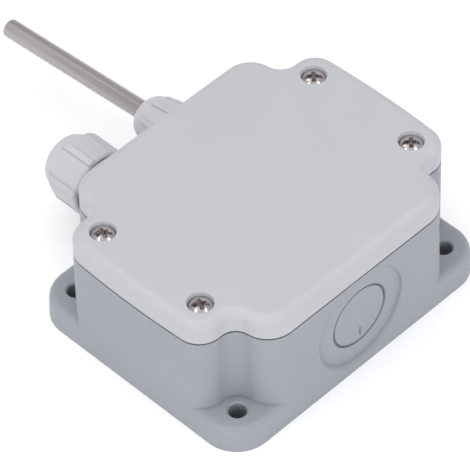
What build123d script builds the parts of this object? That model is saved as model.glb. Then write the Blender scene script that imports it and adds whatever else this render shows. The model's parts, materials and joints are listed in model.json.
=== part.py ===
from build123d import *
import math
import os

# Wall temperature transmitter, millimetres. It lies on its back: +Z points out of the wall through
# the lid, +X runs along the long side, +Y is the way the two glands and the probe point.

# Box: half sizes at the joint with the lid, and at the foot on the wall
TOP_X = 51.0
TOP_Y = 40.0
FOOT_X = 51.5
FOOT_Y = 41.3
FOOT_CORNER_R = 11.1
END_BOW = 0.6            # the short ends swell by this much at mid length
JOINT_Z = 35.8           # where lid and base meet
LID_Z = 43.6             # outer face of the lid
EAR_Z = 8.7              # top of the mounting ears
EAR_ROUND = 2.2
WALL = 2.5
FLOOR = 3.0
LID_PLATE = 2.4
LID_ROUND = 3.0
LID_EDGE = 0.3           # rounding of the lid's lower outer edge
SHADOW_GAP = 0.4         # groove seen as a dark line between lid and base
SHADOW_DEPTH = 0.6
WALL_SET_IN = 0.03       # the walls stand this far inside the foot below them

# Mounting holes in the ears, and the round notch above each
EAR_HOLE_X = 42.4
EAR_HOLE_Y = 32.5
EAR_HOLE_R = 2.7
EAR_CHAMFER = 0.5
NOTCH_R = 5.3
LOBE_LONG_R = 9.0        # rounding between a notch and the long side
LOBE_SHORT_R = 7.5       # rounding between a notch and the short end

# Lid screws, M3.5 pan head with a number 2 cross
SCREW_X = 42.4
SCREW_Y = 19.2
SCREW_R = 1.75
SCREW_HEAD_R = 3.45
SCREW_HEAD_H = 2.6
SCREW_SUNK = 0.5         # the head's top lies this far below the lid's face
SCREW_LENGTH = 13.0
SCREW_TURNS = (65, 72, 45, 45)    # degrees the crosses are turned, as in the photo
CROSS_SIZE = 4.7
CROSS_WIDTH = 1.35
CROSS_DEPTH = 1.8
POCKET_R = 3.85
POCKET_ROUND = 0.3
LID_HOLE_R = 2.0
BOSS_R = 5.2
INSERT_R = 2.5
INSERT_LENGTH = 7.0
RUNNING_FIT = 0.08

# Lid seal in the lid's groove, measured outward from the edge of the hollow
SEAL_IN = 0.5
SEAL_WIDTH = 1.3
SEAL_DEPTH = 1.0

# Upright flat seats for glands and knockout, sunk in the sloping walls
SEAT_Y = 39.9
SEAT_EDGE = 0.35         # rounding at the foot of a seat; above it the step flares at 45 degrees
SEAT_REACH = 4.0         # the seat's cutter reaches this far out, past the foot
GLAND_Z = 20.9

# Knockout in the near long side: a disc held by the thin web under a V groove
KNOCKOUT_X = -0.8
KNOCKOUT_Z = 19.9
KNOCKOUT_SEAT_R = 16.7
KNOCKOUT_R = 10.3        # to the middle of the groove
KNOCKOUT_GROOVE = 0.8    # width of the groove at its mouth
KNOCKOUT_DEPTH = 0.7
KNOCKOUT_SUNK = 0.15     # the disc lies this far below its seat
TICK_X = -0.4            # a short upright mark low on the knockout
TICK_Z = 13.2
TICK_LENGTH = 3.4
TICK_WIDTH = 0.35
TICK_DEPTH = 0.25

# Glands. Heights run outward from the seat.
CABLE_GLAND = dict(
    x=-16.0, seat_r=13.8, thread_r=7.9, thread_in=10.5, bore_r=5.0,
    washer_r=12.2, washer_h=1.4, hexagon=20.0, hexagon_h=5.2,
    neck_r=8.6, neck_top=16.8, tip_r=6.75, tip_top=20.5, seal_r=6.0, seal_low=9.0, seal_bore_r=4.5,
    nut_r=10.3, nut_low=8.9, nut_shoulder=19.3, nut_top=25.4, nut_slope=26.0, nut_round=3.3,
    mouth_r=5.2, cone_low=17.3, cone_top=23.4,
    strips=6, strip_angle=105.0, strip_width=2.2, strip_h=0.6, strip_top=20.6,
    locknut=22.0, locknut_h=3.5)
PROBE_GLAND = dict(
    x=13.2, seat_r=11.4, thread_r=6.0, thread_in=8.5, bore_r=4.0,
    washer_r=9.6, washer_h=1.2, hexagon=15.5, hexagon_h=3.5,
    neck_r=6.9, neck_top=11.0, tip_r=5.0, tip_top=14.2, seal_r=4.4, seal_low=6.5, seal_bore_r=3.0,
    nut_r=8.9, nut_low=5.7, nut_shoulder=8.1, nut_top=20.9, nut_slope=11.0, nut_round=5.3,
    mouth_r=3.55, cone_low=11.5, cone_top=17.5,
    strips=8, strip_angle=95.5, strip_width=1.8, strip_h=0.55, strip_top=15.4,
    locknut=15.0, locknut_h=3.0)
HOLE_CLEARANCE = 0.2

# Probe: a 6 mm steel tube that leans a little in its gland, as in the photo
PROBE_R = 3.0
PROBE_WALL = 0.5
PROBE_TIP_ROUND = 1.0
PROBE_PIVOT_Y = 60.0     # here its axis crosses the gland's
PROBE_TIP_Y = 116.8
PROBE_TAIL_Y = 42.0
PROBE_LEAN_X = 2.25      # degrees towards -X
PROBE_LEAN_Z = 1.53      # degrees towards the wall
POTTING_LENGTH = 6.0
ELEMENT = (2.0, 5.0, 1.0)
SENSOR_WIRE_R = 0.15
LEAD_R = 0.6
LEAD_SPREAD = 0.9        # half the distance between the two leads in the tube

# Circuit board and what it carries
BOARD = (64.0, 50.0, 1.6)
BOARD_Y = -5.0
BOARD_Z = 8.0
BOARD_CORNER_R = 3.0
BOARD_HOLE_X = 28.0
BOARD_HOLE_Y = 21.0
BOARD_POST_R = 3.2
BOARD_SCREW_R = 1.1
BOARD_SCREW_HEAD_R = 2.2
BOARD_SCREW_HEAD_H = 1.6
BOARD_SCREW_LENGTH = 5.5
POLE_PITCH = 5.08
POLES = 4
BLOCK = (POLES * POLE_PITCH, 8.4, 10.0)
BLOCK_Y = 12.0
BLOCK_TOP_STEP = 3.0
WIRE_WAY = 3.0
WIRE_WAY_Z = 4.0         # centre of the wire ways above the board
TERMINAL_SCREW_R = 1.3
TERMINAL_HEAD_R = 1.7
TERMINAL_HEAD_H = 1.4
TERMINAL_HEAD_Z = 7.75   # the head's seat above the board
TERMINAL_TIP_Z = 5.1
TERMINAL_SET_BACK = -0.6     # the screws stand this far behind the middle of the block
CAGE = (3.6, 3.6, 5.2)   # brass cage of one pole, and the window in it
CAGE_WINDOW = (2.8, 3.2)
CAGE_Z = 5.0
CHIP = (7.0, 7.0, 1.4)
CHIP_PLACE = (-8.0, -12.0)
CHIP_LEGS = 7
CHIP_LEG_PITCH = 0.8
CHIP_LEG = (0.35, 0.2)   # width and thickness
CAN_R = 3.15
CAN_H = 10.0
CAN_PLACE = (-22.0, -6.0)
CHOKE_R = 3.5
CHOKE_H = 4.4
CHOKE_PLACE = (14.0, -14.0)
SMALL_PART = (2.0, 1.25, 0.6)
SMALL_PART_CAP = 0.4
SMALL_PARTS_IN_A_ROW = [(6.0, -22.0), (1.0, -22.0), (-4.0, -22.0), (22.0, 4.0)]
SMALL_PARTS_ACROSS = [(4.0, -4.0), (8.0, -4.0), (22.0, -4.0)]

board_top = BOARD_Z + BOARD[2]


# Plan outline of the box
def around(centre, radius, degrees):
    angle = math.radians(degrees)
    return (centre[0] + radius * math.cos(angle), centre[1] + radius * math.sin(angle))


def arc_points(centre, radius, start, end):
    return [around(centre, radius, angle) for angle in (start, (start + end) / 2, end)]


def corner_arcs(half_x, half_y, bow, grow):
    """Lobe, notch and lobe of the corner at +X +Y, each as three points on an arc."""
    hole = (EAR_HOLE_X, EAR_HOLE_Y)
    long_y = half_y - LOBE_LONG_R
    long_x = hole[0] - math.sqrt((LOBE_LONG_R + NOTCH_R) ** 2 - (hole[1] - long_y) ** 2)
    short_x = half_x - LOBE_SHORT_R
    short_y = hole[1] - math.sqrt((LOBE_SHORT_R + NOTCH_R) ** 2 - (hole[0] - short_x) ** 2)
    # the bowed end is an arc that touches both short lobes
    bow_reach = (short_y ** 2 - bow ** 2) / (2 * bow)
    bow_angle = math.degrees(math.atan2(short_y, bow_reach))
    to_hole_short = math.degrees(math.atan2(hole[1] - short_y, hole[0] - short_x))
    to_hole_long = math.degrees(math.atan2(hole[1] - long_y, hole[0] - long_x))
    return [
        arc_points((short_x, short_y), LOBE_SHORT_R + grow, bow_angle, to_hole_short),
        arc_points(hole, NOTCH_R - grow, to_hole_short + 180, to_hole_long + 180),
        arc_points((long_x, long_y), LOBE_LONG_R + grow, to_hole_long, 90)]


def box_outline(half_x, half_y, bow, z=0.0, grow=0.0):
    """Face with the box's outline at height z, moved outward by grow."""
    forward = corner_arcs(half_x, half_y, bow, grow)
    backward = [arc[::-1] for arc in forward[::-1]]
    corners = [(1, 1, forward), (-1, 1, backward), (-1, -1, forward), (1, -1, backward)]
    runs = []
    for side_x, side_y, arcs in corners:
        runs.append([[(side_x * x, side_y * y, z) for x, y in arc] for arc in arcs])
    edges = []
    for index, run in enumerate(runs):
        for arc in run:
            edges.append(ThreePointArc(*arc))
        start = run[-1][2]
        end = runs[(index + 1) % 4][0][0]
        if index % 2 == 0:
            edges.append(Line(start, end))
        else:
            side = 1 if index == 3 else -1
            edges.append(ThreePointArc(start, (side * (half_x + bow + grow), 0, z), end))
    return Face(Wire(edges))


def hollow_outline(z):
    """The box's hollow at height z: the outline set in by the wall, less the four screw bosses."""
    face = Pos(0, 0, z) * box_outline(TOP_X, TOP_Y, END_BOW, grow=-WALL)
    for side_x in (-1, 1):
        for side_y in (-1, 1):
            boss = Pos(side_x * SCREW_X, side_y * SCREW_Y, z) * Circle(BOSS_R)
            web = Pos(side_x * (SCREW_X + 4), side_y * (SCREW_Y + 4), z) * Rectangle(8 + 2 * BOSS_R, 8)
            face -= boss
            face -= web
    return face


def corners_of(x, y, z=0.0):
    return [Pos(side_x * x, side_y * y, z) for side_x in (-1, 1) for side_y in (-1, 1)]


# Base moulding
def wall_seat(x, z, radius, outward):
    """Cutter for an upright round seat in a long wall; outward is +1 or -1 along Y."""
    upward = (Align.CENTER, Align.CENTER, Align.MIN)
    disc = Cylinder(radius, SEAT_REACH, align=upward)
    disc = fillet(disc.edges().group_by(Axis.Z)[0], SEAT_EDGE)
    rise = SEAT_REACH - SEAT_EDGE
    flare = Pos(0, 0, SEAT_EDGE) * Cone(radius, radius + rise, rise, align=upward)
    return Pos(x, outward * SEAT_Y, z) * Rot(-90 * outward, 0, 0) * (disc + flare)


def knockout_cutter():
    """Cutter for the sunken disc and the V groove round it, with the seat at z = 0."""
    half = KNOCKOUT_GROOVE / 2
    return turned([
        (0, -KNOCKOUT_SUNK), (KNOCKOUT_R - half, -KNOCKOUT_SUNK),
        (KNOCKOUT_R - 0.3 * half, -KNOCKOUT_DEPTH), (KNOCKOUT_R + 0.3 * half, -KNOCKOUT_DEPTH),
        (KNOCKOUT_R + half, 0), (KNOCKOUT_R + half, SEAT_REACH), (0, SEAT_REACH)])


def make_base():
    foot_top_x = FOOT_X + (TOP_X - FOOT_X) * EAR_Z / JOINT_Z
    foot_top_y = FOOT_Y + (TOP_Y - FOOT_Y) * EAR_Z / JOINT_Z
    foot = loft([
        RectangleRounded(2 * FOOT_X, 2 * FOOT_Y, FOOT_CORNER_R),
        Pos(0, 0, EAR_Z) * RectangleRounded(2 * foot_top_x, 2 * foot_top_y, FOOT_CORNER_R)])
    foot = fillet(foot.edges().group_by(Axis.Z)[-1], EAR_ROUND)

    wall_low = EAR_Z - EAR_ROUND - 0.3
    low_x = FOOT_X + (TOP_X - FOOT_X) * wall_low / JOINT_Z - 3 * WALL_SET_IN
    low_y = FOOT_Y + (TOP_Y - FOOT_Y) * wall_low / JOINT_Z - WALL_SET_IN
    walls = loft([
        box_outline(low_x, low_y, WALL_SET_IN, z=wall_low),
        box_outline(TOP_X, TOP_Y, END_BOW, z=JOINT_Z - SHADOW_GAP)], ruled=True)
    rim = extrude(box_outline(TOP_X, TOP_Y, END_BOW, z=JOINT_Z - 1, grow=-SHADOW_DEPTH), 1)
    base = foot + walls + rim
    base -= extrude(hollow_outline(FLOOR), JOINT_Z)

    # seats and holes of the glands, and the knockout
    for gland in (CABLE_GLAND, PROBE_GLAND):
        base -= wall_seat(gland["x"], GLAND_Z, gland["seat_r"], 1)
        base -= at_gland(gland) * Cylinder(gland["thread_r"] + HOLE_CLEARANCE, 4 * WALL)
    base -= wall_seat(KNOCKOUT_X, KNOCKOUT_Z, KNOCKOUT_SEAT_R, -1)
    base -= Pos(KNOCKOUT_X, -SEAT_Y, KNOCKOUT_Z) * Rot(90, 0, 0) * knockout_cutter()
    disc_y = KNOCKOUT_SUNK - SEAT_Y
    base -= Pos(TICK_X, disc_y, TICK_Z) * Box(TICK_WIDTH, 2 * TICK_DEPTH, TICK_LENGTH)

    # mounting holes in the ears, with a small chamfer
    for place in corners_of(EAR_HOLE_X, EAR_HOLE_Y):
        base -= place * Cylinder(EAR_HOLE_R, 3 * EAR_Z)
        base -= place * Pos(0, 0, EAR_Z - EAR_CHAMFER / 2) * Cone(
            EAR_HOLE_R, EAR_HOLE_R + EAR_CHAMFER, EAR_CHAMFER + 0.001)

    # seats for the inserts, and posts under the board
    for place in corners_of(SCREW_X, SCREW_Y, JOINT_Z):
        base -= place * Pos(0, 0, -INSERT_LENGTH / 2) * Cylinder(INSERT_R, INSERT_LENGTH)
        base -= place * Pos(0, 0, -INSERT_LENGTH) * Cylinder(SCREW_R + 0.3, 2 * (SCREW_LENGTH - INSERT_LENGTH))
    for place in corners_of(BOARD_HOLE_X, BOARD_HOLE_Y):
        post = Pos(0, BOARD_Y, (BOARD_Z + FLOOR) / 2) * Cylinder(BOARD_POST_R, BOARD_Z - FLOOR)
        hole = Pos(0, BOARD_Y, BOARD_Z) * Cylinder(BOARD_SCREW_R, 2 * (BOARD_Z - FLOOR) - 1)
        base = base + place * post - place * hole
    return base


# Lid moulding, its seal and screws
def seal_ring(depth):
    hollow = hollow_outline(0)
    ring = offset(hollow, SEAL_IN + SEAL_WIDTH) - offset(hollow, SEAL_IN)
    return Pos(0, 0, JOINT_Z) * extrude(ring, depth)


def make_lid():
    lid = extrude(box_outline(TOP_X, TOP_Y, END_BOW, z=JOINT_Z), LID_Z - JOINT_Z)
    lid = fillet(lid.edges().group_by(Axis.Z)[-1], LID_ROUND)
    lid = fillet(lid.edges().group_by(Axis.Z)[0], LID_EDGE)
    lid -= extrude(hollow_outline(JOINT_Z), LID_Z - JOINT_Z - LID_PLATE)
    lid -= seal_ring(SEAL_DEPTH)
    pocket_floor = LID_Z - SCREW_SUNK - SCREW_HEAD_H
    for place in corners_of(SCREW_X, SCREW_Y):
        lid -= place * Pos(0, 0, LID_Z) * Cylinder(POCKET_R, 2 * (LID_Z - pocket_floor))
        lid -= place * Pos(0, 0, LID_Z) * Cylinder(LID_HOLE_R, 3 * (LID_Z - JOINT_Z))
    top_circles = lid.edges().filter_by(GeomType.CIRCLE).group_by(Axis.Z)[-1]
    rims = [edge for edge in top_circles if abs(edge.radius - POCKET_R) < 0.01]
    return fillet(rims, POCKET_ROUND)


def cross_recess(size, width, depth):
    """Tapered cross cut down from z = 0 for a cross-head driver."""
    cross = None
    for turn in (0, 90):
        wing = loft([Rectangle(size, width), Pos(0, 0, -depth) * Rectangle(size * 0.45, width * 0.6)])
        wing = Rot(0, 0, turn) * wing
        cross = wing if cross is None else cross + wing
    return cross


def make_pan_screw(radius, length, head_r, head_h, recess):
    """Pan head screw with its seat at z = 0, head up: a flat dome with a rounded rim."""
    dome_r = 1.7 * head_r
    crown = []
    for reach in (0, 0.5 * head_r, 0.84 * head_r):
        crown.append((reach, head_h - dome_r + math.sqrt(dome_r ** 2 - reach ** 2)))
    edge_z = 0.42 * head_h
    dome = Spline(*crown, (head_r, edge_z), tangents=((1, 0), (0, -1)))
    sides = Polyline(
        (head_r, edge_z), (head_r, 0), (radius, 0), (radius, 0.4 - length),
        (radius - 0.4, -length), (0, -length), (0, head_h))
    profile = Plane.XZ * make_face([dome, *sides.edges()])
    screw = revolve(profile, Axis.Z)
    return screw - Pos(0, 0, head_h + 0.01) * recess


def make_lid_screw(place, turn):
    recess = cross_recess(CROSS_SIZE, CROSS_WIDTH, CROSS_DEPTH)
    screw = make_pan_screw(SCREW_R, SCREW_LENGTH, SCREW_HEAD_R, SCREW_HEAD_H, recess)
    seat = LID_Z - SCREW_SUNK - SCREW_HEAD_H
    return place * Pos(0, 0, seat) * Rot(0, 0, turn) * screw


def make_inserts():
    sleeve = Cylinder(INSERT_R, INSERT_LENGTH) - Cylinder(SCREW_R + RUNNING_FIT, INSERT_LENGTH)
    return [place * Pos(0, 0, JOINT_Z - INSERT_LENGTH / 2) * sleeve
            for place in corners_of(SCREW_X, SCREW_Y)]


# Glands
def turned(points):
    """Solid of revolution about Z from (radius, height) points."""
    return revolve(Plane.XZ * make_face(Polyline(*points, close=True)), Axis.Z)


def hexagon(across, low, height):
    """Hexagon along Z with turned-off corners at both ends."""
    prism = Pos(0, 0, low) * extrude(RegularPolygon(across / 2, 6, major_radius=False), height)
    corner = across / math.sqrt(3)
    flat = across / 2
    rise = (corner - flat) * 0.5
    round_blank = turned([
        (0, low), (flat, low), (corner, low + rise), (corner, low + height - rise),
        (flat, low + height), (0, low + height)])
    return prism & round_blank


def make_gland_body(g):
    """Threaded stub, hexagon, neck and slotted clamping fingers, one moulding."""
    hex_low = g["washer_h"]
    hex_top = hex_low + g["hexagon_h"]
    bore = g["bore_r"]
    body = turned([
        (bore, -g["thread_in"]), (g["thread_r"] - 0.5, -g["thread_in"]),
        (g["thread_r"], 0.5 - g["thread_in"]), (g["thread_r"], hex_low + 1), (g["neck_r"], hex_low + 1),
        (g["neck_r"], g["neck_top"]), (g["neck_r"] - 0.45, g["neck_top"] + 0.4),
        (g["tip_r"], g["tip_top"]), (g["seal_r"], g["tip_top"]), (g["seal_r"], g["seal_low"]),
        (bore, g["seal_low"])])
    body += hexagon(g["hexagon"], hex_low, g["hexagon_h"]) - Cylinder(g["neck_r"] - 0.5, 4 * hex_top)
    slot_low = g["neck_top"] + 0.2
    for index in range(g["strips"]):
        slot = Pos(g["neck_r"], 0, slot_low + 5) * Box(2 * g["neck_r"], 0.8, 10)
        body -= Rot(0, 0, index * 360 / g["strips"]) * slot
    return body


def nut_profile(g, rise, top):
    """Outer points of a clamping nut, lifted off its surface by rise, as far as height top."""
    slope = math.tan(math.radians(g["nut_slope"]))
    radius = g["nut_r"] + rise
    end_r = radius - slope * (top - g["nut_shoulder"])
    return [(radius - 0.5, g["nut_low"]), (radius, g["nut_low"] + 0.5), (radius, g["nut_shoulder"]),
            (end_r, top)]


def make_gland_nut(g):
    """Domed clamping nut: cylinder, cone, rounded front, and raised grip strips."""
    slope = math.radians(g["nut_slope"])
    round_z = g["nut_top"] - g["nut_round"]
    round_r = (g["nut_r"] - math.tan(slope) * (round_z - g["nut_shoulder"])
               - g["nut_round"] / math.cos(slope))
    outer = nut_profile(g, 0, round_z + g["nut_round"] * math.sin(slope))[:3]
    for step in range(7):
        angle = slope + (math.pi / 2 - slope) * step / 6
        outer.append((round_r + g["nut_round"] * math.cos(angle), round_z + g["nut_round"] * math.sin(angle)))
    bottom = g["nut_low"]
    fit_r = g["neck_r"] + RUNNING_FIT
    blank = turned([(0, bottom), *outer, (0, g["nut_top"])])
    strip_points = nut_profile(g, g["strip_h"], g["strip_top"])
    end_r, end_z = strip_points[-1]
    sleeve = turned([(0, bottom), *strip_points, (end_r - 1.2 * g["strip_h"], end_z + 0.5), (0, end_z)])
    bars = None
    for index in range(g["strips"]):
        angle = -(g["strip_angle"] + index * 360 / g["strips"])
        bar = Rot(0, 0, angle) * Pos(g["nut_r"], 0, bottom + 10) * Box(
            g["nut_r"], g["strip_width"], 24)
        bars = bar if bars is None else bars + bar
    nut = blank + (sleeve & bars)
    inside = turned([
        (0, bottom - 1), (fit_r + 0.6, bottom - 1), (fit_r + 0.6, bottom), (fit_r, bottom + 0.6),
        (fit_r, g["cone_low"]), (g["mouth_r"], g["cone_top"]), (g["mouth_r"], g["nut_top"] + 1),
        (0, g["nut_top"] + 1)])
    return nut - inside


def make_gland_seal(g):
    seal = turned([
        (g["seal_bore_r"], g["seal_low"]), (g["seal_r"], g["seal_low"]), (g["seal_r"], g["tip_top"]),
        (g["seal_r"] - 0.5, g["tip_top"] + 0.4), (g["seal_bore_r"], g["tip_top"] + 0.4)])
    return seal


def make_gland_washer(g):
    return turned([
        (g["thread_r"], 0), (g["washer_r"], 0), (g["washer_r"], g["washer_h"]),
        (g["thread_r"], g["washer_h"])])


def make_locknut(g):
    low = TOP_Y - WALL - SEAT_Y - g["locknut_h"]
    nut = hexagon(g["locknut"], low, g["locknut_h"])
    return nut - Pos(0, 0, low) * Cylinder(g["thread_r"], 4 * g["locknut_h"])


def at_gland(g):
    return Pos(g["x"], SEAT_Y, GLAND_Z) * Rot(-90, 0, 0)


# Probe. It is drawn along Z from the crossing with the gland's axis, then leaned.
def at_probe():
    return Pos(PROBE_GLAND["x"], PROBE_PIVOT_Y, GLAND_Z) * Rot(
        -90 - PROBE_LEAN_Z, 0, 0) * Rot(0, -PROBE_LEAN_X, 0)


tip_z = PROBE_TIP_Y - PROBE_PIVOT_Y
tail_z = PROBE_TAIL_Y - PROBE_PIVOT_Y
element_z = tip_z - PROBE_WALL - 1 - ELEMENT[1] / 2


def make_probe_tube():
    tube = Pos(0, 0, (tip_z + tail_z) / 2) * Cylinder(PROBE_R, tip_z - tail_z)
    tube = fillet(tube.edges().group_by(Axis.Z)[-1], PROBE_TIP_ROUND)
    inner_r = PROBE_R - PROBE_WALL
    hole_top = tip_z - PROBE_WALL
    hole = Pos(0, 0, (hole_top + tail_z) / 2) * Cylinder(inner_r, hole_top - tail_z)
    return tube - fillet(hole.edges().group_by(Axis.Z)[-1], PROBE_TIP_ROUND / 2)


def make_potting():
    plug = Pos(0, 0, tail_z + POTTING_LENGTH / 2) * Cylinder(PROBE_R - PROBE_WALL, POTTING_LENGTH)
    for side in (-1, 1):
        plug -= Pos(side * LEAD_SPREAD, 0, tail_z) * Cylinder(LEAD_R + RUNNING_FIT, 4)
        plug -= Pos(side * LEAD_SPREAD, 0, tail_z + POTTING_LENGTH / 2) * Cylinder(
            SENSOR_WIRE_R, 2 * POTTING_LENGTH)
    return plug


def make_sensor_wires():
    low = tail_z + 2
    high = element_z - ELEMENT[1] / 2
    wires = []
    for side in (-1, 1):
        points = [(side * LEAD_SPREAD, 0, low), (side * LEAD_SPREAD, 0, high - 4), (side * 0.6, 0, high)]
        path = Polyline(*points)
        wires.append(sweep(Plane(points[0], z_dir=(0, 0, 1)) * Circle(SENSOR_WIRE_R), path=path,
                           transition=Transition.ROUND))
    return wires


def make_lead(side, pole_x):
    """Insulated lead from the probe's tail through the gland to a terminal."""
    start = at_probe() * Pos(side * LEAD_SPREAD, 0, tail_z + 2)
    inner = at_probe() * Pos(side * LEAD_SPREAD, 0, tail_z - 2)
    entry_y = BLOCK_Y + BLOCK[1] / 2
    entry_z = board_top + WIRE_WAY_Z
    points = [
        start.position,
        inner.position,
        Vector(PROBE_GLAND["x"] + side * LEAD_SPREAD + 0.6, SEAT_Y - PROBE_GLAND["thread_in"] - 3, GLAND_Z),
        Vector(pole_x, entry_y + 3, entry_z),
        Vector(pole_x, entry_y - 3.8, entry_z)]
    heading = inner.position - start.position
    path = Spline(*points, tangents=(heading, Vector(0, -1, 0)))
    return sweep(Plane(points[0], z_dir=heading) * Circle(LEAD_R), path=path)


# Circuit board
def make_board():
    board = Pos(0, BOARD_Y, BOARD_Z) * extrude(
        RectangleRounded(BOARD[0], BOARD[1], BOARD_CORNER_R), BOARD[2])
    for place in corners_of(BOARD_HOLE_X, BOARD_HOLE_Y):
        board -= place * Pos(0, BOARD_Y, BOARD_Z) * Cylinder(BOARD_SCREW_R + 0.3, 4 * BOARD[2])
    return board


def make_board_screws():
    recess = cross_recess(1.1 * BOARD_SCREW_HEAD_R, 0.36 * BOARD_SCREW_HEAD_R, 0.56 * BOARD_SCREW_HEAD_H)
    screw = make_pan_screw(
        BOARD_SCREW_R, BOARD_SCREW_LENGTH, BOARD_SCREW_HEAD_R, BOARD_SCREW_HEAD_H, recess)
    return [place * Pos(0, BOARD_Y, board_top) * screw for place in corners_of(BOARD_HOLE_X, BOARD_HOLE_Y)]


def pole_positions():
    return [(index - (POLES - 1) / 2) * POLE_PITCH for index in range(POLES)]


def make_terminal_block():
    """Housing with a screw well and a wire way for each pole."""
    front = BLOCK[1] / 2
    side = Polyline(
        (front, 0), (front, BLOCK[2] - BLOCK_TOP_STEP), (front - 1.6, BLOCK[2]),
        (-front, BLOCK[2]), (-front, 0), close=True)
    block = extrude(Plane.YZ * make_face(side), BLOCK[0] / 2, both=True)
    for pole_x in pole_positions():
        block -= Pos(pole_x, front, WIRE_WAY_Z) * Box(WIRE_WAY, 1.3 * BLOCK[1], WIRE_WAY)
        well_depth = BLOCK[2] - CAGE_Z - 0.3 * CAGE[2]
        block -= Pos(pole_x, TERMINAL_SET_BACK, BLOCK[2]) * Cylinder(TERMINAL_HEAD_R + 0.3, 2 * well_depth)
        block -= Pos(pole_x, TERMINAL_SET_BACK, CAGE_Z) * Box(CAGE[0] + 0.2, CAGE[1] + 0.2, CAGE[2] + 0.4)
    return Pos(0, BLOCK_Y, board_top) * block


def make_terminal_clamps():
    """Brass cage of each pole: a frame with a threaded roof."""
    clamps = []
    window_top = CAGE_WINDOW[1] / 2 - 0.4
    roof = CAGE[2] / 2 - window_top
    for pole_x in pole_positions():
        cage = Box(*CAGE) - Pos(0, 0, -0.4) * Box(CAGE_WINDOW[0], 2 * CAGE[1], CAGE_WINDOW[1])
        cage -= Pos(0, 0, CAGE[2] / 2) * Cylinder(TERMINAL_SCREW_R + RUNNING_FIT, 2.2 * roof)
        clamps.append(Pos(pole_x, BLOCK_Y + TERMINAL_SET_BACK, board_top + CAGE_Z) * cage)
    return clamps


def make_terminal_screw(pole_x):
    """Slotted cheese-head screw of one pole, with its tip on the wire."""
    upward = (Align.CENTER, Align.CENTER, Align.MIN)
    shank_length = TERMINAL_HEAD_Z - TERMINAL_TIP_Z
    screw = Pos(0, 0, TERMINAL_HEAD_Z) * Cylinder(TERMINAL_HEAD_R, TERMINAL_HEAD_H, align=upward)
    screw += Pos(0, 0, TERMINAL_TIP_Z) * Cylinder(TERMINAL_SCREW_R, shank_length, align=upward)
    slot = Box(3 * TERMINAL_HEAD_R, 0.36 * TERMINAL_HEAD_R, 0.86 * TERMINAL_HEAD_H)
    screw -= Pos(0, 0, TERMINAL_HEAD_Z + TERMINAL_HEAD_H) * slot
    return Pos(pole_x, BLOCK_Y + TERMINAL_SET_BACK, board_top) * screw


def make_chip():
    """Flat square chip with a row of bent legs on each side."""
    lift = 0.25
    body = Pos(0, 0, lift + CHIP[2] / 2) * Box(*CHIP)
    body = chamfer(body.edges().group_by(Axis.Z)[-1], lift)
    width, thick = CHIP_LEG
    middle_z = lift + CHIP[2] / 2
    upper = Pos(0.25, 0, middle_z) * Box(1.0, width, thick)
    leg_h = middle_z + thick / 2
    down = Pos(0.65, 0, leg_h / 2) * Box(thick, width, leg_h)
    toe = Pos(1.0, 0, thick / 2) * Box(0.7, width, thick)
    leg = Pos(CHIP[0] / 2, 0, 0) * (upper + down + toe)
    chip = body
    for turn in (0, 90, 180, 270):
        for index in range(CHIP_LEGS):
            along = (index - (CHIP_LEGS - 1) / 2) * CHIP_LEG_PITCH
            chip += Rot(0, 0, turn) * Pos(0, along, 0) * leg
    return Pos(*CHIP_PLACE, board_top) * chip


def make_capacitor():
    """Round can on a square foot, with the rolled groove near its foot."""
    foot_h = 0.03 * CAN_H
    can = turned([
        (0, foot_h), (CAN_R, foot_h), (CAN_R, 0.14 * CAN_H), (0.93 * CAN_R, 0.17 * CAN_H),
        (0.93 * CAN_R, 0.2 * CAN_H), (CAN_R, 0.23 * CAN_H), (CAN_R, CAN_H), (0, CAN_H)])
    can = fillet(can.edges().group_by(Axis.Z)[-1], 0.15 * CAN_R)
    foot = Pos(0, 0, foot_h / 2) * Box(2.1 * CAN_R, 2.1 * CAN_R, foot_h)
    return Pos(*CAN_PLACE, board_top) * (can + foot)


def make_choke():
    """Wound choke: two flanges on a core, with the coil between them."""
    flange_h = 0.23 * CHOKE_H
    core = turned([
        (0, 0), (CHOKE_R, 0), (CHOKE_R, flange_h), (0.9 * CHOKE_R, flange_h),
        (0.9 * CHOKE_R, CHOKE_H - flange_h), (CHOKE_R, CHOKE_H - flange_h), (CHOKE_R, CHOKE_H),
        (0, CHOKE_H)])
    return Pos(*CHOKE_PLACE, board_top) * core


def make_surface_parts():
    """Chip resistors and capacitors, small blocks with end caps."""
    length, width, height = SMALL_PART
    block = Pos(0, 0, height / 2 + 0.05) * Box(length, width, height)
    for side in (-1, 1):
        block += Pos(side * length / 2, 0, height / 2 + 0.1) * Box(
            SMALL_PART_CAP, width + 0.1, height + 0.2)
    parts = [Pos(x, y, board_top) * block for x, y in SMALL_PARTS_IN_A_ROW]
    parts += [Pos(x, y, board_top) * Rot(0, 0, 90) * block for x, y in SMALL_PARTS_ACROSS]
    return parts


# Build every node
nodes = {}
nodes["base"] = make_base()
nodes["lid"] = make_lid()
nodes["lid_gasket"] = seal_ring(SEAL_DEPTH)
nodes["lid_inserts"] = make_inserts()
for number, (place, turn) in enumerate(zip(corners_of(SCREW_X, SCREW_Y), SCREW_TURNS), start=1):
    nodes[f"lid_screw_{number}"] = make_lid_screw(place, turn)

for name, gland in (("cable_gland", CABLE_GLAND), ("probe_gland", PROBE_GLAND)):
    place = at_gland(gland)
    nodes[f"{name}_body"] = place * make_gland_body(gland)
    nodes[f"{name}_nut"] = place * make_gland_nut(gland)
    nodes[f"{name}_seal"] = place * make_gland_seal(gland)
    nodes[f"{name}_washer"] = place * make_gland_washer(gland)
    nodes[f"{name}_locknut"] = place * make_locknut(gland)
# the rubber gives way to the leaning tube
nodes["probe_gland_seal"] -= at_probe() * Cylinder(PROBE_R, 80)

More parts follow.
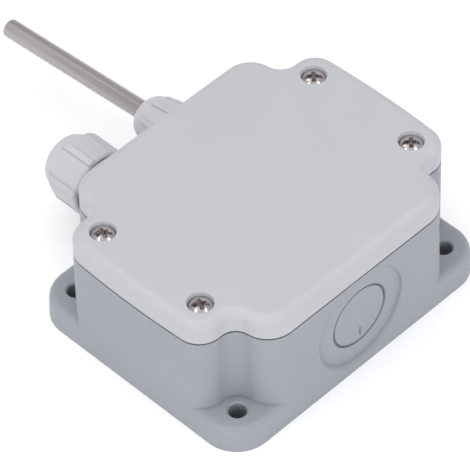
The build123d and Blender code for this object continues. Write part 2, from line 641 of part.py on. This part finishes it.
nodes["probe_tube"] = at_probe() * make_probe_tube()
nodes["probe_potting"] = at_probe() * make_potting()
nodes["sensor_element"] = at_probe() * Pos(0, 0, element_z) * Box(ELEMENT[0], ELEMENT[2], ELEMENT[1])
nodes["sensor_wires"] = [at_probe() * wire for wire in make_sensor_wires()]
nodes["probe_lead_red"] = make_lead(-1, pole_positions()[2])
nodes["probe_lead_white"] = make_lead(1, pole_positions()[3])

nodes["circuit_board"] = make_board()
nodes["board_screws"] = make_board_screws()
nodes["terminal_block"] = make_terminal_block()
nodes["terminal_clamps"] = make_terminal_clamps()
for number, pole_x in enumerate(pole_positions(), start=1):
    nodes[f"terminal_screw_{number}"] = make_terminal_screw(pole_x)
nodes["transmitter_chip"] = make_chip()
nodes["capacitor"] = make_capacitor()
nodes["choke"] = make_choke()
nodes["surface_parts"] = make_surface_parts()

os.makedirs("parts", exist_ok=True)
for name, shape in nodes.items():
    if isinstance(shape, list):
        shape = Compound(children=[solid for piece in shape for solid in piece.solids()])
    export_step(shape, f"parts/{name}.step")
    box = shape.bounding_box()
    print(name, len(shape.solids()), "solid(s), size", box.size)
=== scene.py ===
"""Looks of the wall temperature transmitter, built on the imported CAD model. Metres, in the CAD frame."""

import json
import math

import bpy
from mathutils import Matrix, Vector


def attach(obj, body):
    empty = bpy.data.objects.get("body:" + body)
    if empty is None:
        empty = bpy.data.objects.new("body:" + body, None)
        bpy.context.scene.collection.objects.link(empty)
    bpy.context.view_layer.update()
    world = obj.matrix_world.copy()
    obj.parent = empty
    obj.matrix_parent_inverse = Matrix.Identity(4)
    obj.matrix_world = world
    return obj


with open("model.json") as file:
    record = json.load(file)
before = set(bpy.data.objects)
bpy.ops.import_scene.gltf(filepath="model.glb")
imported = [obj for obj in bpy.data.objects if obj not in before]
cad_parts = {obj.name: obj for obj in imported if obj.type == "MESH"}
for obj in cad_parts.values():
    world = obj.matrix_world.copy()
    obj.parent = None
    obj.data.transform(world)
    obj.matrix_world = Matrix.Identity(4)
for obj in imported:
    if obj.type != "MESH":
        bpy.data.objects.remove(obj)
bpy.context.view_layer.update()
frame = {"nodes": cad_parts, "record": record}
nodes = frame["nodes"]

MM = 0.001

# Camera, solved from edge points of the photo
AZIMUTH = -44.16
ELEVATION = 47.41
ROLL = -1.67
DISTANCE = 1108.7 * MM
AIM_RIGHT = -7.49 * MM
AIM_UP = 15.46 * MM
FOCAL_PX = 3828.65
IMAGE_PX = 470
SENSOR = 36.0

# Light: heights run from 0 at the horizon to 1 overhead, sides from 0 across to 1 straight that way
BEHIND = (0.697, 0.717, 0)
BEFORE = tuple(-part for part in BEHIND)
SKY_COLOUR = (0.94, 0.945, 0.985)
SKY_SHARE_BEHIND = 0.5
SKY_STRENGTH = 0.63
ROOM_BY_HEIGHT = [(0.0, (0.97, 0.97, 0.98)), (0.2, (0.75, 0.73, 0.74)), (0.4, (0.5, 0.48, 0.49)),
                  (0.8, (0.45, 0.43, 0.44)), (0.95, (0.66, 0.64, 0.64))]
DARK_COLOUR = (0.12, 0.095, 0.092)
DARK_BEHIND_BY_HEIGHT = [(0.12, 0.0), (0.3, 1.0)]
DARK_BEHIND_BY_SIDE = [(0.45, 0.0), (0.55, 1.0), (0.8, 1.0), (0.88, 0.0)]
DARK_BEFORE_BY_HEIGHT = [(0.22, 0.0), (0.32, 0.8), (0.55, 0.8), (0.68, 0.0)]
DARK_BEFORE_BY_SIDE = [(0.45, 0.0), (0.65, 1.0)]
FLOOR_REACH = 3.0        # to each side
FLOOR_COLOUR = (0.9, 0.9, 0.9)
FLOOR_GLOW = 0.3

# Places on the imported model, in millimetres
GLAND_Z = 20.9
CABLE_X = -16.0
PROBE_X = 13.2
PROBE_TURN = (-1.53, 0, 2.25)    # degrees that the probe leans out of +Y
KNOCKOUT_SEAT = (-0.8, -39.9, 19.9)    # middle of the knockout's sunk seat
# reach of the painted shade along the rim of the knockout's seat
KNOCKOUT_SEAT_R = 16.5
BOARD_LOW = 8.0
BOARD_TOP = 9.6
CHIP = (-8.0, -12.0)
CHIP_LEGS = 7            # on each side
CHIP_LEG_PITCH = 0.8
CHIP_TOE = 4.6           # from the chip's middle to its toes
CHOKE = (14, -14)
CAN = (-22, -6)
BLOCK = (0, 12)
BLOCK_PIN_Y = 1.8        # from the block's middle to its two rows of pins
POLE_PITCH = 5.08
POLE_X = [(index - 1.5) * POLE_PITCH for index in range(4)]
PARTS_ALONG_X = [(6, -22), (1, -22), (-4, -22), (22, 4)]
PARTS_ALONG_Y = [(4, -4), (8, -4), (22, -4)]
PART_END = 1.25          # from a small part's middle to its solder
LEADS = [(-22, -9.6), (-22, -2.4), (17.9, -14), (10.1, -14)]    # of can and choke

# Thread ridges on the glands, in millimetres: axis, radius, height, start and end along Y
THREAD_PITCH = 1.5
THREADS = [
    ("cable_gland_inner_thread", CABLE_X, 7.9, 0.22, 30.2, 33.4),
    ("cable_gland_outer_thread", CABLE_X, 8.6, 0.3, 47.4, 48.2),
    ("probe_gland_inner_thread", PROBE_X, 6.0, 0.22, 32.2, 33.9),
]

# Solder joints, in millimetres: half length, half width and height
TOE_SOLDER = (0.55, 0.27, 0.24)
END_SOLDER = (0.5, 0.7, 0.4)
LEAD_SOLDER = (0.7, 0.7, 0.35)
PIN_SOLDER = (0.9, 0.9, 0.9)

# Tracks and printed frames on the board, in millimetres
TRACK_WIDTH = 0.5
TRACKS = [
    [(POLE_X[0], 7), (POLE_X[0], 2), (-14, -2.4), (-14, -9.6), (-12.8, -9.6)],
    [(POLE_X[1], 7), (POLE_X[1], 0), (-5.6, -3), (-5.6, -7)],
    [(POLE_X[2], 7), (POLE_X[2], 3), (4, 1.5), (4, -3)],
    [(POLE_X[3], 7), (POLE_X[3], 4), (8, 3.6), (8, -3)],
    [(4, -5), (4, -9), (1, -10.4), (-3, -10.4)],
    [(8, -5), (8, -9.5), (5, -12), (-3, -12)],
    [(22, -5), (22, -10), (18, -14), (17.6, -14)],
    [(10.4, -14), (4, -14.4), (-3, -14.4)],
    [(6.9, -22), (12, -22), (14, -20), (14, -17.6)],
    [(1.9, -22), (5.1, -22)],
    [(-3.1, -22), (0.1, -22)],
    [(-4.9, -22), (-7, -20), (-7.2, -16.8)],
    [(-22, -9.2), (-22, -14), (-19, -17), (-13, -14.4), (-12.6, -14.4)],
    [(-22, -2.6), (-22, 3), (-19, 6), (-12.2, 6), (POLE_X[0], 4)],
    [(22.9, 4), (27, 4), (28, 5), (28, 12)],
    [(21.1, 4), (16, 4), (14, 6), (14, 14), (11, 18), (-18, 18), (-26, 10), (-26, -16), (-20, -24),
     (-8, -24)],
]
FRAME_WIDTH = 0.18
# each frame's middle and half sizes
FRAMES = [(CHIP, 5.7, 5.7), (BLOCK, 10.9, 4.9), (CAN, 4.4, 4.4), (CHOKE, 4.6, 4.6)]

# Shading of the CAD meshes
WELD_DISTANCE = 0.000001
SHARP_DEGREES = 28


def add_object(name, data):
    """Object from its data, linked to the scene."""
    added = bpy.data.objects.new(name, data)
    bpy.context.scene.collection.objects.link(added)
    return added


def add_camera():
    """Camera that looks at the model from the side and height the photo was taken from."""
    a = math.radians(AZIMUTH)
    e = math.radians(ELEVATION)
    r = math.radians(ROLL)
    back = Vector((math.sin(a) * math.cos(e), -math.cos(a) * math.cos(e), math.sin(e)))
    right = Vector((math.cos(a), math.sin(a), 0))
    up = back.cross(right)
    right, up = right * math.cos(r) + up * math.sin(r), up * math.cos(r) - right * math.sin(r)
    data = bpy.data.cameras.new("camera")
    data.sensor_width = SENSOR
    data.lens = FOCAL_PX / IMAGE_PX * SENSOR
    data.clip_start = 0.05
    data.clip_end = 20
    camera = add_object("camera", data)
    place = Matrix((right, up, back)).transposed().to_4x4()
    place.translation = right * AIM_RIGHT + up * AIM_UP + back * DISTANCE
    camera.matrix_world = place
    bpy.context.scene.camera = camera


# Helpers for node trees
def combine(tree, operation, first, second):
    """One value from two, by a math operation."""
    node = tree.nodes.new("ShaderNodeMath")
    node.operation = operation
    tree.links.new(first, node.inputs[0])
    tree.links.new(second, node.inputs[1])
    return node.outputs[0]


def facing(tree, vector, direction):
    """How far the vector points along the direction."""
    node = tree.nodes.new("ShaderNodeVectorMath")
    node.operation = "DOT_PRODUCT"
    node.inputs[1].default_value = direction
    tree.links.new(vector, node.inputs[0])
    return node.outputs["Value"]


def colour_steps(tree, value, steps):
    """Colour ramp over a value, from (place, grey or colour) steps."""
    ramp = tree.nodes.new("ShaderNodeValToRGB")
    elements = ramp.color_ramp.elements
    while len(elements) < len(steps):
        elements.new(1.0)
    for element, (place, colour) in zip(elements, steps):
        element.position = place
        element.color = (*colour, 1) if isinstance(colour, tuple) else (colour, colour, colour, 1)
    tree.links.new(value, ramp.inputs["Fac"])
    return ramp.outputs["Color"]


def background(tree, colour, strength=1.0):
    """World light of a plain colour, or of one that a node gives."""
    node = tree.nodes.new("ShaderNodeBackground")
    node.inputs["Strength"].default_value = strength
    if isinstance(colour, tuple):
        node.inputs["Color"].default_value = (*colour, 1)
    else:
        tree.links.new(colour, node.inputs["Color"])
    return node.outputs[0]


def mix_shaders(tree, amount, first, second):
    """The first shader where amount is 0, the second where it is 1."""
    node = tree.nodes.new("ShaderNodeMixShader")
    tree.links.new(amount, node.inputs["Fac"])
    tree.links.new(first, node.inputs[1])
    tree.links.new(second, node.inputs[2])
    return node.outputs[0]


def ray_kinds(tree):
    """Two values: 1 for rays from the camera, and 1 for rays that left a glossy or clear surface."""
    path = tree.nodes.new("ShaderNodeLightPath")
    mirrored = combine(tree, "MAXIMUM", path.outputs["Is Glossy Ray"], path.outputs["Is Transmission Ray"])
    return path.outputs["Is Camera Ray"], mirrored


# World, lamps and floor
def add_world():
    """A pale sky, weaker behind the object, lights it, and the camera sees plain white.

    Gloss sees a white horizon, a grey room above it, and two dark parts of the room: behind the
    object and on the camera's side.
    """
    world = bpy.data.worlds.new("studio")
    bpy.context.scene.world = world
    world.use_nodes = True
    tree = world.node_tree
    tree.nodes.clear()
    out = tree.nodes.new("ShaderNodeOutputWorld")
    direction = tree.nodes.new("ShaderNodeTexCoord").outputs["Generated"]
    split = tree.nodes.new("ShaderNodeSeparateXYZ")
    tree.links.new(direction, split.inputs[0])
    height = split.outputs["Z"]
    behind = facing(tree, direction, BEHIND)
    before = facing(tree, direction, BEFORE)

    sky_behind = tuple(SKY_SHARE_BEHIND * part for part in SKY_COLOUR)
    sky = background(tree, colour_steps(tree, behind, [(0.0, SKY_COLOUR), (1.0, sky_behind)]), SKY_STRENGTH)
    dark_behind = combine(tree, "MULTIPLY", colour_steps(tree, height, DARK_BEHIND_BY_HEIGHT),
                          colour_steps(tree, behind, DARK_BEHIND_BY_SIDE))
    dark_before = combine(tree, "MULTIPLY", colour_steps(tree, height, DARK_BEFORE_BY_HEIGHT),
                          colour_steps(tree, before, DARK_BEFORE_BY_SIDE))
    lit_room = background(tree, colour_steps(tree, height, ROOM_BY_HEIGHT))
    dark_room = background(tree, DARK_COLOUR)
    room = mix_shaders(tree, combine(tree, "MAXIMUM", dark_behind, dark_before), lit_room, dark_room)

    from_camera, mirrored = ray_kinds(tree)
    around = mix_shaders(tree, mirrored, sky, room)
    white = background(tree, (1, 1, 1))
    tree.links.new(mix_shaders(tree, from_camera, around, white), out.inputs["Surface"])


def add_lamp(name, place, target, size, watts, gloss=True):
    """Rectangular lamp; without gloss it lights the object but doesn't show in it."""
    data = bpy.data.lights.new(name, "AREA")
    data.shape = "RECTANGLE"
    data.size, data.size_y = size
    data.energy = watts
    lamp = add_object(name, data)
    lamp.visible_glossy = gloss
    lamp.location = place
    lamp.rotation_euler = (Vector(target) - Vector(place)).to_track_quat("-Z", "Y").to_euler()


def add_floor():
    """Pale floor that takes the shadow; a little glow whitens it where it is seen."""
    mesh = bpy.data.meshes.new("floor")
    side = FLOOR_REACH
    corners = [(-side, -side, 0), (side, -side, 0), (side, side, 0), (-side, side, 0)]
    mesh.from_pydata(corners, [], [(0, 1, 2, 3)])
    floor = add_object("floor", mesh)
    material = bpy.data.materials.new("floor_white")
    material.use_nodes = True
    tree = material.node_tree
    tree.nodes.clear()
    out = tree.nodes.new("ShaderNodeOutputMaterial")
    paper = tree.nodes.new("ShaderNodeBsdfDiffuse")
    paper.inputs["Color"].default_value = (*FLOOR_COLOUR, 1)
    glow = tree.nodes.new("ShaderNodeEmission")
    glow.inputs["Strength"].default_value = FLOOR_GLOW
    no_glow = tree.nodes.new("ShaderNodeEmission")
    no_glow.inputs["Strength"].default_value = 0.0
    seen = combine(tree, "MAXIMUM", *ray_kinds(tree))
    both = tree.nodes.new("ShaderNodeAddShader")
    tree.links.new(paper.outputs[0], both.inputs[0])
    tree.links.new(mix_shaders(tree, seen, no_glow.outputs[0], glow.outputs[0]), both.inputs[1])
    tree.links.new(both.outputs[0], out.inputs["Surface"])
    mesh.materials.append(material)


# Materials
class Look:
    """A principled material with helpers for its texture nodes, in object space and metres."""

    def __init__(self, name, colour, roughness, edge, **sockets):
        """Plain colour and roughness, edges rounded by edge, and values for other sockets by name."""
        self.material = bpy.data.materials.new(name)
        self.material.use_nodes = True
        self.tree = self.material.node_tree
        self.link = self.tree.links.new
        self.shader = self.tree.nodes["Principled BSDF"]
        self.colour = colour
        self.shader.inputs["Base Color"].default_value = (*colour, 1)
        self.shader.inputs["Roughness"].default_value = roughness
        for key, value in sockets.items():
            self.shader.inputs[key.replace("_", " ")].default_value = value
        self.place = self.tree.nodes.new("ShaderNodeTexCoord").outputs["Object"]
        self.paint = None
        bevel = self.tree.nodes.new("ShaderNodeBevel")
        bevel.samples = 4
        bevel.inputs["Radius"].default_value = edge
        self.set_normal(bevel.outputs[0])

    def set_paint(self, paint):
        self.paint = paint
        self.link(paint, self.shader.inputs["Base Color"])

    def set_normal(self, normal):
        self.normal = normal
        self.link(normal, self.shader.inputs["Normal"])

    def noise(self, size, detail, stretch=(1, 1, 1), seed=0.0, turn=(0, 0, 0)):
        """Noise with grains about size times stretch long on each axis, turned by degrees."""
        mapping = self.tree.nodes.new("ShaderNodeMapping")
        mapping.vector_type = "TEXTURE"
        mapping.inputs["Scale"].default_value = stretch
        mapping.inputs["Rotation"].default_value = [math.radians(angle) for angle in turn]
        mapping.inputs["Location"].default_value = (seed, seed * 0.7, -seed)
        node = self.tree.nodes.new("ShaderNodeTexNoise")
        node.inputs["Scale"].default_value = 1 / size
        node.inputs["Detail"].default_value = detail
        self.link(self.place, mapping.inputs["Vector"])
        self.link(mapping.outputs[0], node.inputs["Vector"])
        return node.outputs["Fac"]

    def spread(self, value, low, high, start=0.3, end=0.7):
        """A value between start and end, mapped to low to high."""
        node = self.tree.nodes.new("ShaderNodeMapRange")
        node.inputs["From Min"].default_value = start
        node.inputs["From Max"].default_value = end
        node.inputs["To Min"].default_value = low
        node.inputs["To Max"].default_value = high
        self.link(value, node.inputs["Value"])
        return node.outputs[0]

    def near(self, centre, radius, fade, squash):
        """1 within radius of centre, falling to 0 over fade; squash flattens the ball along an axis."""
        offset = self.tree.nodes.new("ShaderNodeVectorMath")
        offset.operation = "SUBTRACT"
        offset.inputs[1].default_value = centre
        scaled = self.tree.nodes.new("ShaderNodeVectorMath")
        scaled.operation = "MULTIPLY"
        scaled.inputs[1].default_value = squash
        length = self.tree.nodes.new("ShaderNodeVectorMath")
        length.operation = "LENGTH"
        self.link(self.place, offset.inputs[0])
        self.link(offset.outputs[0], scaled.inputs[0])
        self.link(scaled.outputs[0], length.inputs[0])
        return self.spread(length.outputs["Value"], 1, 0, radius, radius + fade)

    def vary_paint(self, value, contrast):
        """Base colour that runs with the value, from darker than the plain one to lighter by contrast."""
        darker = tuple(part * (1 - contrast) for part in self.colour)
        lighter = tuple(part * (1 + contrast) for part in self.colour)
        self.set_paint(colour_steps(self.tree, value, [(0.3, darker), (0.7, lighter)]))

    def paint_crease_shading(self, distance, colour, start=0.9, end=0.45, mask=None):
        """Painted shading: multiplies the paint by colour in grooves and inner corners that ambient
        occlusion finds, darkening them as painted shade, or lightening them as painted light when the colour
        is above 1; with a mask, only where that is 1.
        """
        node = self.tree.nodes.new("ShaderNodeAmbientOcclusion")
        node.samples = 8
        node.inputs["Distance"].default_value = distance
        amount = self.spread(node.outputs["AO"], 0, 1, start, end)
        if mask is not None:
            amount = combine(self.tree, "MULTIPLY", amount, mask)
        mix = self.tree.nodes.new("ShaderNodeMix")
        mix.data_type = "RGBA"
        mix.blend_type = "MULTIPLY"
        # sockets 6, 7 and output 2 are the colour ones
        self.link(amount, mix.inputs[0])
        self.link(self.paint, mix.inputs[6])
        mix.inputs[7].default_value = (*colour, 1)
        self.set_paint(mix.outputs[2])

    def vary_roughness(self, value, low, high):
        self.link(self.spread(value, low, high), self.shader.inputs["Roughness"])

    def bump(self, value, depth):
        """Relief of the given depth, on top of what shapes the surface so far."""
        node = self.tree.nodes.new("ShaderNodeBump")
        node.inputs["Strength"].default_value = 1.0
        node.inputs["Distance"].default_value = depth
        self.link(value, node.inputs["Height"])
        self.link(self.normal, node.inputs["Normal"])
        self.set_normal(node.outputs["Normal"])


def paint_base_shade(look):
    """Painted shade: dark paint inside the mounting holes, and a soft painted shade along the rim of the
    knockout's seat.
    """
    # painted shade deep inside the mounting holes
    look.paint_crease_shading(distance=0.006, colour=(0.27, 0.27, 0.27), start=0.46, end=0.14)
    middle = tuple(part * MM for part in KNOCKOUT_SEAT)
    seat_shade_mask = look.near(middle, radius=KNOCKOUT_SEAT_R * MM, fade=0.001, squash=(1, 3, 1))
    # painted shade along the seat's rim, only within the seat's mask
    look.paint_crease_shading(distance=0.0035, colour=(0.8, 0.8, 0.81), start=0.98, end=0.82, mask=seat_shade_mask)


def paint_pocket_light(look):
    """Painted light: lifts the paint in the screw pockets, in place of light that spreads inside the pale
    plastic.
    """
    # painted light: occluded pocket walls get their paint multiplied above 1
    look.paint_crease_shading(distance=0.004, colour=(1.35, 1.35, 1.35), start=0.85, end=0.4)


def moulded(name, seed, colour, roughness, grain=0.00035, edge=0.00015, crease=0.72, painted_shading=None):
    """Moulded plastic: fine grain, slight unevenness of tone and gloss, and painted shade in the grooves."""
    look = Look(name, colour, roughness, edge)
    look.vary_paint(look.noise(size=0.03, detail=3, seed=seed), contrast=0.015)
    # painted shade: grooves and inner corners get their paint darkened by this factor
    look.paint_crease_shading(distance=0.0012, colour=(crease, crease, crease))
    # further painted shade and painted light that some plastics add
    if painted_shading:
        painted_shading(look)
    gloss = look.noise(size=0.012, detail=4, seed=seed + 3)
    look.vary_roughness(gloss, roughness - 0.04, roughness + 0.04)
    look.bump(look.noise(grain, detail=2, seed=seed + 5), depth=0.00001)
    return look.material


def metal(name, colour, roughness, stretch=(1, 1, 1), turn=(0, 0, 0), line=0.004, depth=0.000004,
          contrast=0.09, crease=(0.45, 0.4, 0.38), metallic=1.0, **sockets):
    """Metal with fine lines: along the axis where stretch is large, or round the one where it is small."""
    look = Look(name, colour, roughness, edge=0.0001, Metallic=metallic, **sockets)
    look.vary_paint(look.noise(line, 4, stretch, turn=turn), contrast)
    # painted shade: grooves and recesses in the metal get their paint darkened by this colour
    look.paint_crease_shading(distance=0.0006, colour=crease)
    gloss = look.noise(size=0.002, detail=4, stretch=stretch, seed=2, turn=turn)
    look.vary_roughness(gloss, roughness - 0.06, roughness + 0.08)
    look.bump(look.noise(size=0.0008, detail=3, stretch=stretch, seed=4, turn=turn), depth)
    return look.material


# crease factors are painted shade in grooves; the base and lid add further painted shade and painted light
PLASTICS = {
    "base_plastic": dict(colour=(0.388, 0.404, 0.438), roughness=0.5, crease=0.86, painted_shading=paint_base_shade),
    "lid_plastic": dict(colour=(0.597, 0.602, 0.627), roughness=0.42, edge=0.0004, crease=0.95,
                        painted_shading=paint_pocket_light),
    "gland_plastic": dict(colour=(0.65, 0.65, 0.66), roughness=0.38, edge=0.00045, crease=0.95),
    "seal_rubber": dict(colour=(0.045, 0.045, 0.05), roughness=0.65),
    "resin": dict(colour=(0.03, 0.03, 0.035), roughness=0.2, grain=0.002),
    "sensor_ceramic": dict(colour=(0.8, 0.8, 0.78), roughness=0.6),
    "red_insulation": dict(colour=(0.5, 0.03, 0.02), roughness=0.4),
    "white_insulation": dict(colour=(0.75, 0.75, 0.72), roughness=0.4),
    "board_laminate": dict(colour=(0.02, 0.14, 0.06), roughness=0.3, grain=0.0006),
    "green_plastic": dict(colour=(0.05, 0.22, 0.09), roughness=0.45),
    "black_plastic": dict(colour=(0.02, 0.02, 0.022), roughness=0.45),
    "ferrite": dict(colour=(0.03, 0.03, 0.033), roughness=0.6),
    "track": dict(colour=(0.035, 0.2, 0.085), roughness=0.3, grain=0.0006),
    "ink": dict(colour=(0.75, 0.76, 0.74), roughness=0.5),
}
METALS = {
    "brass": dict(colour=(0.75, 0.57, 0.28), roughness=0.3, stretch=(1, 1, 0.17)),
    "stainless_steel": dict(colour=(0.43, 0.397, 0.406), roughness=0.55, stretch=(1, 40, 1), turn=PROBE_TURN,
                            line=0.0012, contrast=0.18, metallic=0.4,
                            Coat_Weight=1.0, Coat_Roughness=0.12, Coat_IOR=1.7),
    "plated_steel": dict(colour=(0.74, 0.7, 0.705), roughness=0.14, depth=0.000001,
                         crease=(0.62, 0.57, 0.56)),
    "nickel_wire": dict(colour=(0.6, 0.6, 0.58), roughness=0.3, stretch=(1, 10, 1)),
    "aluminium_can": dict(colour=(0.7, 0.7, 0.71), roughness=0.3, stretch=(1, 1, 10)),
    "solder": dict(colour=(0.68, 0.68, 0.7), roughness=0.28),
    "copper": dict(colour=(0.72, 0.32, 0.14), roughness=0.3, stretch=(1, 1, 0.25)),
}


def build_materials():
    """Every material by name: the record's material slots, and what the added pieces need."""
    materials = {name: metal(name, **values) for name, values in METALS.items()}
    for seed, (name, values) in enumerate(PLASTICS.items(), start=1):
        materials[name] = moulded(name, seed, **values)
    return materials


# Added detail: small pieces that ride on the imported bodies
def add_piece(name, points, faces, body, material, smooth=False):
    """Piece from points in millimetres, fixed to a body."""
    mesh = bpy.data.meshes.new(name)
    mesh.from_pydata([Vector(point) * MM for point in points], [], faces)
    mesh.materials.append(material)
    for polygon in mesh.polygons:
        polygon.use_smooth = smooth
    piece = add_object(name, mesh)
    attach(piece, body)


def skin(points, ring):
    """Faces of a closed skin over points that come in rings of the given count."""
    last = len(points) - ring
    faces = [tuple(range(ring)), tuple(reversed(range(last, last + ring)))]
    for low in range(0, last, ring):
        for side in range(ring):
            after = (side + 1) % ring
            faces.append((low + side, low + ring + side, low + ring + after, low + after))
    return faces


def add_thread(name, x, radius, height, start, end, material):
    """Helical ridge round a gland's body, from start to end along Y."""
    steps = 48
    sunk = radius - 0.05
    count = int((end - start) / THREAD_PITCH * steps)
    points = []
    for index in range(count + 1):
        angle = 2 * math.pi * index / steps
        middle = start + THREAD_PITCH * index / steps
        # the ridge rises from nothing over its first and last quarter turn
        grow = min(1, index / (steps / 4), (count - index) / (steps / 4))
        crest = radius + height * grow
        for reach, aside in ((sunk, -0.42), (crest, -0.08), (crest, 0.08), (sunk, 0.42)):
            points.append((x + reach * math.cos(angle), middle + aside * THREAD_PITCH,
                           GLAND_Z + reach * math.sin(angle)))
    add_piece(name, points, skin(points, 4), "housing", material)


def add_coil(name, centre, radius, wire_r, turns, low, high, material):
    """Winding of round wire about an upright axis."""
    steps, ring = 40, 8
    count = turns * steps
    points = []
    for index in range(count + 1):
        angle = 2 * math.pi * index / steps
        z = low + (high - low) * index / count
        for side in range(ring):
            turn = 2 * math.pi * side / ring
            reach = radius + wire_r * math.cos(turn)
            points.append((centre[0] + reach * math.cos(angle), centre[1] + reach * math.sin(angle),
                           z + wire_r * math.sin(turn)))
    add_piece(name, points, skin(points, ring), "housing", material, smooth=True)


def strip(points, faces, start, end, width, low, high):
    """Bar of the given width between two plan points, its ends lengthened by half the width."""
    ahead = (Vector(end) - Vector(start)).normalized() * width / 2
    aside = Vector((-ahead.y, ahead.x))
    plan = [Vector(start) - ahead - aside, Vector(end) + ahead - aside,
            Vector(end) + ahead + aside, Vector(start) - ahead + aside]
    first = len(points)
    for face in ((0, 3, 2, 1), (4, 5, 6, 7), (0, 1, 5, 4), (1, 2, 6, 5), (2, 3, 7, 6), (3, 0, 4, 7)):
        faces.append(tuple(first + corner for corner in face))
    points.extend([(*corner, low) for corner in plan])
    points.extend([(*corner, high) for corner in plan])


def mound(points, faces, centre, size, low, turned=False):
    """Solder joint with an oval foot and a flat top, its length along X or, turned, along Y."""
    half_x, half_y, height = size
    if turned:
        half_x, half_y = half_y, half_x
    ring = 12
    first = len(points)
    for scale, rise in ((1.0, 0.0), (0.78, 0.6), (0.4, 1.0)):
        for index in range(ring):
            angle = 2 * math.pi * index / ring
            points.append((centre[0] + half_x * scale * math.cos(angle),
                           centre[1] + half_y * scale * math.sin(angle), low + rise * height))
    faces.append(tuple(reversed(range(first, first + ring))))
    faces.append(tuple(range(first + 2 * ring, first + 3 * ring)))
    for level in range(2):
        a = first + level * ring
        for index in range(ring):
            after = (index + 1) % ring
            faces.append((a + index, a + after, a + ring + after, a + ring + index))


def add_tracks(material):
    """The board's tracks, which show through its green lacquer."""
    points, faces = [], []
    for track in TRACKS:
        for start, end in zip(track, track[1:]):
            strip(points, faces, start, end, TRACK_WIDTH, BOARD_TOP - 0.01, BOARD_TOP + 0.04)
    add_piece("board_tracks", points, faces, "housing", material)


def add_solder(material):
    """Solder at the chip's toes, at small parts, can and choke, and on the block's pins under the board."""
    points, faces = [], []
    for index in range(CHIP_LEGS):
        along = (index - (CHIP_LEGS - 1) / 2) * CHIP_LEG_PITCH
        for side in (-CHIP_TOE, CHIP_TOE):
            mound(points, faces, (CHIP[0] + side, CHIP[1] + along), TOE_SOLDER, BOARD_TOP)
            mound(points, faces, (CHIP[0] + along, CHIP[1] + side), TOE_SOLDER, BOARD_TOP, turned=True)
    for x, y in PARTS_ALONG_X:
        for side in (-PART_END, PART_END):
            mound(points, faces, (x + side, y), END_SOLDER, BOARD_TOP)
    for x, y in PARTS_ALONG_Y:
        for side in (-PART_END, PART_END):
            mound(points, faces, (x, y + side), END_SOLDER, BOARD_TOP, turned=True)
    for lead in LEADS:
        mound(points, faces, lead, LEAD_SOLDER, BOARD_TOP)
    for x in POLE_X:
        for side in (-BLOCK_PIN_Y, BLOCK_PIN_Y):
            mound(points, faces, (x, BLOCK[1] + side), PIN_SOLDER, BOARD_LOW - PIN_SOLDER[2])
    add_piece("board_solder", points, faces, "housing", material, smooth=True)


def add_outlines(material):
    """Printed frames round the larger parts, without any lettering."""
    points, faces = [], []
    for (x, y), half_x, half_y in FRAMES:
        corners = [(x - half_x, y - half_y), (x + half_x, y - half_y),
                   (x + half_x, y + half_y), (x - half_x, y + half_y)]
        for start, end in zip(corners, corners[1:] + corners[:1]):
            strip(points, faces, start, end, FRAME_WIDTH, BOARD_TOP + 0.01, BOARD_TOP + 0.06)
    add_piece("board_outlines", points, faces, "housing", material)


def add_details(materials):
    """Threads on the glands, the choke's winding, and what is on the board."""
    for thread in THREADS:
        add_thread(*thread, materials["gland_plastic"])
    add_coil("choke_winding", CHOKE, radius=3.27, wire_r=0.12, turns=9,
             low=BOARD_TOP + 1.15, high=BOARD_TOP + 3.25, material=materials["copper"])
    add_tracks(materials["track"])
    add_solder(materials["solder"])
    add_outlines(materials["ink"])


# CAD nodes
def smooth_cad(node):
    """Rounds the shading of a CAD node's facets and keeps its real edges sharp."""
    for polygon in node.data.polygons:
        polygon.use_smooth = True
    weld = node.modifiers.new("weld", "WELD")
    weld.merge_threshold = WELD_DISTANCE
    split = node.modifiers.new("edges", "EDGE_SPLIT")
    split.split_angle = math.radians(SHARP_DEGREES)
    weighted = node.modifiers.new("flats", "WEIGHTED_NORMAL")
    weighted.keep_sharp = True


def dress_nodes(materials):
    """Gives each CAD node the material of its slot."""
    for part in frame["record"]["subparts"]:
        node = nodes[part["node"]]
        node.data.materials.clear()
        node.data.materials.append(materials[part["material_slot"]])
        smooth_cad(node)


bpy.context.scene.view_settings.view_transform = "Standard"
add_camera()
add_world()
add_floor()
add_lamp("overhead", place=(-0.05, 0.1, 0.9), target=(0, 0, 0), size=(1.0, 1.0), watts=3.15, gloss=False)
add_lamp("left_box", place=(-0.3, 0.29, 0.93), target=(0, 0, 0.04), size=(0.28, 0.15), watts=0.3)
add_lamp("right_box", place=(0.3, -0.31, 0.93), target=(0, 0, 0.04), size=(0.28, 0.15), watts=0.3)
add_lamp("far_strip", place=(-0.05, 0.517, 0.804), target=(0.013, 0.08, 0.021), size=(0.12, 0.3), watts=0.17)
add_lamp("left_window", place=(-0.95, -0.15, 0.35), target=(0, 0, 0.02), size=(0.6, 0.9), watts=1.45)
add_lamp("right_window", place=(-0.15, -0.7, 0.3), target=(0, 0, 0.02), size=(0.6, 0.5), watts=1.0,
         gloss=False)
materials = build_materials()
dress_nodes(materials)
add_details(materials)
